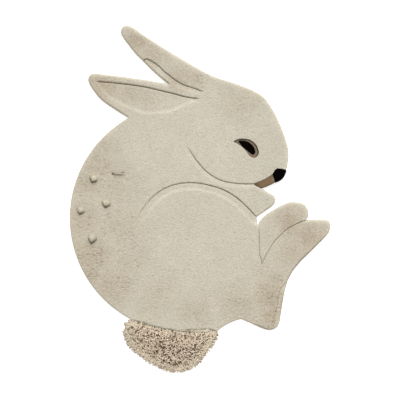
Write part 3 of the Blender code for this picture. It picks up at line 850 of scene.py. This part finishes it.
shag = {
    "spacing": 4.9,           # mm between roots
    "jitter": 2.3,
    "length": (14, 24),
    "level": 5.2,             # how far below the surface a strand may lie
    "radius": (1.4, 1.9),
    "step": 2.6,
    "curl": 30,               # degrees a strand turns at each step, at most
    "wander": 10,
    "buried": 7,              # how deep a root starts under the shag's surface
    "rise": 0.3,              # the share of its length in which it comes up
    "fall": 0.65,             # and from which it tips back in, this deep
    "fallDepth": 2.5,
    "tone": 1.12,
    "toneUneven": 0.18,
    # painted light on the rim away from the lamp, where the yarn lies in shade
    "farPaintedLight": 0.42,         # only tips are seen on the side away from the lamp, this wide
    "farWidth": 45,
    "outside": 5.0,           # the level past the outline
    "outlineSpacing": 3.0,
    "rimWidth": 24,           # from the outline in, where the yarns comb outward
    "rimSpacing": 4.2,
    "rimLength": (20, 32),
    "rimRadius": (1.2, 1.8),
    "seamSpacing": 3.6,       # of the yarns that lean on the short pile
    "drape": 2.0,             # and how high over it they lie
    # how deep under the shag's surface the painted shade in its gaps is full
    "darkDepth": 7.0,
    "groundInset": 8.0,
    "groundSpacing": 6.0,
    "groundShare": 0.6,       # of the shag's height
    "seed": 5,
}


tailTree, bodyTree = (BVHTree.FromBMesh(cadShape(node)) for node in ("tail_shag", "rug_body"))
tailLoop = spacedLoop(max(footLoops(cadShape("tail_shag"), recessFloor), key=len),
                      shag["outlineSpacing"])
tailWays = outwardNormals(tailLoop, 4)
onSeam = np.array([topOf(bodyTree, x + wayX * 12, y + wayY * 12) > midPile
                   for (x, y), (wayX, wayY) in zip(tailLoop, tailWays)])
tailRim, tailSeam = nearTo(tailLoop[~onSeam]), nearTo(tailLoop[onSeam])
tailRimWays = tailWays[~onSeam]


def shagTop(x, y):
    return topOf(tailTree, x, y) or shag["outside"]


def drapedTop(x, y):
    # over the shag and over the short pile's rounded edge
    return max(shagTop(x, y),
               pileTop + shag["drape"] if topOf(bodyTree, x, y) > midPile else 0.0,
               pileTop if topOf(bodyTree, x, y + 5) > midPile else 0.0)


def outFrom(x, y):
    # which way the rim is, how far, and how much painted light lifts the yarn there, on the side
    # away from the lamp
    _, nearest, toRim = tailRim.find((x, y, 0))
    way = tailRimWays[nearest]
    paler = shag["farPaintedLight"] * max(0.0, -way[1]) * max(0.0, 1 - toRim / shag["farWidth"])
    return math.atan2(way[1], way[0]), toRim, paler


def curledStrand(spread, place, heading, length, radius, curl, buried, surface, paleness,
                 lit=0.0):
    # a strand that comes up out of the shag, arches along it and tips back in
    x, y = place
    steps = max(5, round(length / shag["step"]))
    turn = math.radians(spread.uniform(-1, 1) * curl)
    level = spread.uniform(0, 1) ** 1.3 * shag["level"]
    path = []
    for i in range(steps + 1):
        share = i / steps
        sunk = (1 - min(1.0, share / shag["rise"])) ** 1.3 * buried
        dip = max(0.0, share - shag["fall"]) / (1 - shag["fall"]) * shag["fallDepth"]
        path.append((x, y, max(radius + 0.2, surface(x, y) - radius - level - sunk - dip)))
        pace = shag["step"] * (0.5 if share < shag["rise"] else 1.0)
        x += math.cos(heading) * pace
        y += math.sin(heading) * pace
        heading += turn + math.radians(spread.uniform(-1, 1) * shag["wander"])
    radii = bluntRadii(radius, len(path), spread)
    tone = shag["tone"] + spread.uniform(-1, 1) * shag["toneUneven"] + 0.04 * paleness + lit
    return path, radii, tone, paleness


def middleStrands(spread):
    # every way in the middle, combed outward near the rim and down below the seam
    strands = []
    for x, y in latticeIn(tailLoop, shag["spacing"], 2.0)[0]:
        x += spread.uniform(-1, 1) * shag["jitter"]
        y += spread.uniform(-1, 1) * shag["jitter"]
        out, toRim, lit = outFrom(x, y)
        toSeam = tailSeam.find((x, y, 0))[2]
        combed = max(0.0, 1 - toRim / shag["rimWidth"] / 1.6)
        heading = out + math.radians(spread.gauss(0, 110 - 75 * combed))
        if toSeam < 12:
            heading = math.radians(spread.gauss(-95, 60))
        strands.append(curledStrand(
            spread, (x, y), heading, spread.uniform(*shag["length"]),
            spread.uniform(*shag["radius"]), shag["curl"], shag["buried"], shagTop,
            max(combed, 0.8 - toSeam / 20), lit))
    return strands


def rimStrands(spread):
    # longer and straighter, out over the rim; next to the short pile they hang down beside it
    strands = []
    for x, y in latticeIn(tailLoop, shag["rimSpacing"], 1.0)[0]:
        out, toRim, lit = outFrom(x, y)
        if toRim >= shag["rimWidth"] * spread.uniform(0.4, 1):
            continue
        beside = max(0.0, 1 - tailSeam.find((x, y, 0))[2] / 22)
        down = math.atan2(math.sin(out) - 1.6 * beside, math.cos(out))
        strands.append(curledStrand(
            spread, (x, y), down + math.radians(spread.gauss(0, 22 - 14 * beside)),
            min(spread.uniform(*shag["rimLength"]), toRim + 20) * (1 - 0.35 * beside),
            spread.uniform(*shag["rimRadius"]), shag["curl"] * 0.4, shag["buried"], shagTop,
            1.0, lit))
    return strands


def seamStrands(spread):
    # a row that lies down into the shag, and yarns that lie up over the short pile, as far as
    # the seam is seen
    strands = []
    for x, y in spacedLoop(tailLoop[onSeam], shag["seamSpacing"]):
        if tailSeam.find((x, y, 0))[2] > 2.5:
            continue
        strands.append(curledStrand(
            spread, (x, y - spread.uniform(1.5, 4)), math.radians(spread.gauss(-90, 45)),
            spread.uniform(10, 17), spread.uniform(*shag["rimRadius"]), shag["curl"], 2.5,
            shagTop, 0.7))
        shown = np.interp(x, *zip(*seam))
        for _ in range(2):
            far = shown - y - spread.uniform(0.5, 4)
            if far > -2:
                strands.append(curledStrand(
                    spread, (x + spread.uniform(-3, 3), y - spread.uniform(3, 8)),
                    math.radians(spread.gauss(90, 35)), far + spread.uniform(8, 12),
                    spread.uniform(*shag["radius"]) * 0.9, shag["curl"] * 0.7, 3.0,
                    drapedTop, 0.5))
    return strands


def makeTailShag():
    spread = random.Random(shag["seed"])
    strands = middleStrands(spread) + rimStrands(spread) + seamStrands(spread)
    print("tail:", len(strands), "strands")
    return yarnPiece("tailShag", strands, curledEcruWool, shagTop, shag["darkDepth"], sides=5)


def makeTailGround():
    # the imported yarn below, sunk so that only the gaps show it, and painted dark as the shade in
    # them
    inset = tailLoop - tailWays * shag["groundInset"]
    inset = inset[[tailRim.find((x, y, 0))[2] > shag["groundInset"] * 0.9 or near
                   for (x, y), near in zip(inset, onSeam)]]
    places, faces, _ = filled(inset, [latticeIn(inset, shag["groundSpacing"], 3.0)[0]])
    around = borderOf(faces)
    low = pileBase + 0.1
    heights = [low + (shagTop(x, y) - low) * shag["groundShare"] for x, y in places]
    points = np.vstack([np.column_stack([places, heights]),
                        np.column_stack([places[around], np.full(len(around), pileBase)])])
    foot = list(range(len(places), len(points)))
    faces = faces.tolist() + ringFaces(around, foot) + [foot[::-1]]
    return makePiece("tailGround", points, faces, [curledEcruWool], root=0.75, tone=1.0)


tailShag, tailGround = makeTailShag(), makeTailGround()
for made in (tailShag, tailGround):
    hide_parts("tail_shag")


# The bobbles' yarn

def heightOn(bobble, u, v):
    # steep ahead, and rising gently out of the pile behind
    angle = math.atan2(v, u)
    reach = min(1.0, math.hypot(u, v) / bobbleReach(angle))
    ahead = 0.5 + 0.5 * math.cos(angle)
    behind = math.cos(reach * math.pi / 2) ** 1.5
    return bobble["height"] * (ahead * (1 - reach ** 4) + (1 - ahead) * behind)


def laidStrands(bobble, spread):
    # a few yarns laid side by side, frayed at their far ends
    strands, steps = [], 6
    for i in range(bobbles["laidYarns"]):
        start, end = spread.uniform(0.75, 1), spread.uniform(-1.1, -0.5)
        fan = 2 * i / (bobbles["laidYarns"] - 1) - 1
        path = []
        for k in range(steps + 1):
            u = start + (end - start) * k / steps
            v = fan * (0.15 + 0.6 * k / steps) + spread.uniform(-0.06, 0.06) - 0.1
            rise = bobble["height"] * (0.45 + 0.3 * math.sin(k / steps * math.pi))
            path.append((*placeOn(bobble, u, v),
                         bobble["foot"] + rise - (1.5 if k in (0, steps) else 0)))
        strands.append((path, bluntRadii(bobbles["laidRadius"], len(path), spread),
                        1 + spread.uniform(-0.08, 0.1), 0))
    return strands


def wrappedStrands(bobble, spread):
    # yarns side by side from the point over the knot, their ends sunk into the pile behind
    strands = []
    for i in range(bobbles["yarns"]):
        v = ((i + 0.5) / bobbles["yarns"] - 0.5) * 1.66 + spread.uniform(-0.03, 0.03)
        radius = spread.uniform(*bobbles["radius"])
        ends = bobbleReach(math.atan2(v, 0.6)), bobbleReach(math.atan2(v, -0.6))
        first, last = (math.sqrt(max(0.05, end * end - v * v)) for end in ends)
        path = []
        for k, deeper in enumerate(bobbles["tuckedIn"]):
            u = first * 0.95 - (first + last * 0.8) * k / (len(bobbles["tuckedIn"]) - 1)
            x, y = placeOn(bobble, u, v * (1 - 0.4 * max(0.0, u)) + 0.05 * math.sin(k * 1.3 + i * 2))
            path.append((x, y, bobble["foot"] + max(
                -1.0, heightOn(bobble, u, v) - radius * 0.55 - deeper)))
        strands.append((path, bluntRadii(radius, len(path), spread),
                        1 + spread.uniform(-0.08, 0.06), 0))
    return strands


def makeKnot(node, bobble, darkFrom):
    # the knot that they wrap, down to below the pile's top
    turns, rings, within = 32, 9, 0.9
    points = []
    for i in range(rings):
        for j in range(turns):
            angle = 2 * math.pi * j / turns
            reach = bobbleReach(math.atan2(math.sin(angle), math.cos(angle))) * (1 - i / rings)
            u, v = reach * math.cos(angle) * 0.97, reach * math.sin(angle) * 0.97
            rise = heightOn(bobble, u, v) - within if i else -1.5
            points.append((*placeOn(bobble, u, v), bobble["foot"] + rise))
    points.append((*placeOn(bobble, 0, 0), bobble["foot"] + heightOn(bobble, 0, 0) - within))
    faces = [(i * turns + j, i * turns + (j + 1) % turns, (i + 1) * turns + (j + 1) % turns,
              (i + 1) * turns + j) for i in range(rings - 1) for j in range(turns)]
    last = (rings - 1) * turns
    faces += [(last + j, last + (j + 1) % turns, len(points) - 1) for j in range(turns)]
    faces.append(tuple(range(turns - 1, -1, -1)))
    root = [min(1.0, max(0.0, (darkFrom(x, y) - z) / bobbles["darkDepth"])) for x, y, z in points]
    return makePiece(node + "Knot", points, faces, [uncutEcruWool], root, tone=0.95)


def makeBobble(node):
    bobble = bobbleShape(node)
    spread = random.Random(bobbles["seed"] + int(node[-1]))
    flat = node in bobbles["flat"]

    def darkFrom(x, y):
        # the side under the point lies in the yarn's own shade, and the back is lit to its foot
        shade = (Vector((x, y)) - bobble["middle"]).dot(bobble["ahead"]) / bobble["half"][0]
        if shade > 0.3:
            return bobble["foot"] + bobble["height"] + bobbles["darkDepth"] * 0.75 * shade ** 2
        return bobble["foot"] + bobble["height"] * (1 + min(0.0, shade + 0.1))

    strands = (laidStrands if flat else wrappedStrands)(bobble, spread)
    pieces = [yarnPiece(node + "Yarn", strands, uncutEcruWool, darkFrom, bobbles["darkDepth"])]
    if not flat:
        pieces.append(makeKnot(node, bobble, darkFrom))
    for made in pieces:
        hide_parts(node)
    return pieces


bobblePieces = [made for node in bobbles["point"] for made in makeBobble(node)]
print("bobbles made")


# Floor, light and camera

studio = {
    "floorReach": 6.0,                 # metres each way from the middle
    "floorHex": "F7F7F6",
    "floorGlow": 0.6,                 # a white sheet lit through, so that shadows stay faint
    "skyHex": "FFFFFF",
    "skyStrength": 0.54,
    "sunStrength": 2.5,
    "sunWidth": 45,                    # degrees; a wide soft box
    "sunFrom": (0.12, 1.0, 0.9),
    "cameraHeight": 3.2,
    "cameraOver": (0.0005, -0.0004),   # the picture's middle on the rug
    "pictureWidth": 1.3752,            # metres that the picture takes in at the pile's top
}

floorMesh = bpy.data.meshes.new("floor")
corners = [(x * studio["floorReach"], y * studio["floorReach"], 0)
           for x, y in ((-1, -1), (1, -1), (1, 1), (-1, 1))]
floorMesh.from_pydata(corners, [], [(0, 1, 2, 3)])
floor = addObject("floor", floorMesh)
floor.location.z = -0.2 * mm
# white paper, matt: an even ground without gloss
studioPaper = bpy.data.materials.new("whiteStudioPaper")
studioPaper.use_nodes = True
for socket, value in {"Base Color": linear(studio["floorHex"]), "Roughness": 1.0,
                      "Specular IOR Level": 0.0, "Emission Color": linear(studio["floorHex"]),
                      "Emission Strength": studio["floorGlow"]}.items():
    studioPaper.node_tree.nodes["Principled BSDF"].inputs[socket].default_value = value
floorMesh.materials.append(studioPaper)

world = bpy.data.worlds.new("studio")
world.use_nodes = True
world.node_tree.nodes["Background"].inputs["Color"].default_value = linear(studio["skyHex"])
world.node_tree.nodes["Background"].inputs["Strength"].default_value = studio["skyStrength"]
bpy.context.scene.world = world

keyLamp = bpy.data.lights.new("key", "SUN")
keyLamp.energy = studio["sunStrength"]
keyLamp.angle = math.radians(studio["sunWidth"])
key = addObject("key", keyLamp)
key.location = Vector(studio["sunFrom"]) * 2
key.rotation_euler = (-Vector(studio["sunFrom"])).to_track_quat("-Z", "Y").to_euler()

lens = bpy.data.cameras.new("camera")
lens.sensor_fit = "HORIZONTAL"
overPile = studio["cameraHeight"] - pileTop * mm
lens.angle = 2 * math.atan(studio["pictureWidth"] / 2 / overPile)
camera = addObject("camera", lens)
camera.location = (*studio["cameraOver"], studio["cameraHeight"])
bpy.context.scene.camera = camera
bpy.context.scene.view_settings.view_transform = "Standard"
print("studio set")
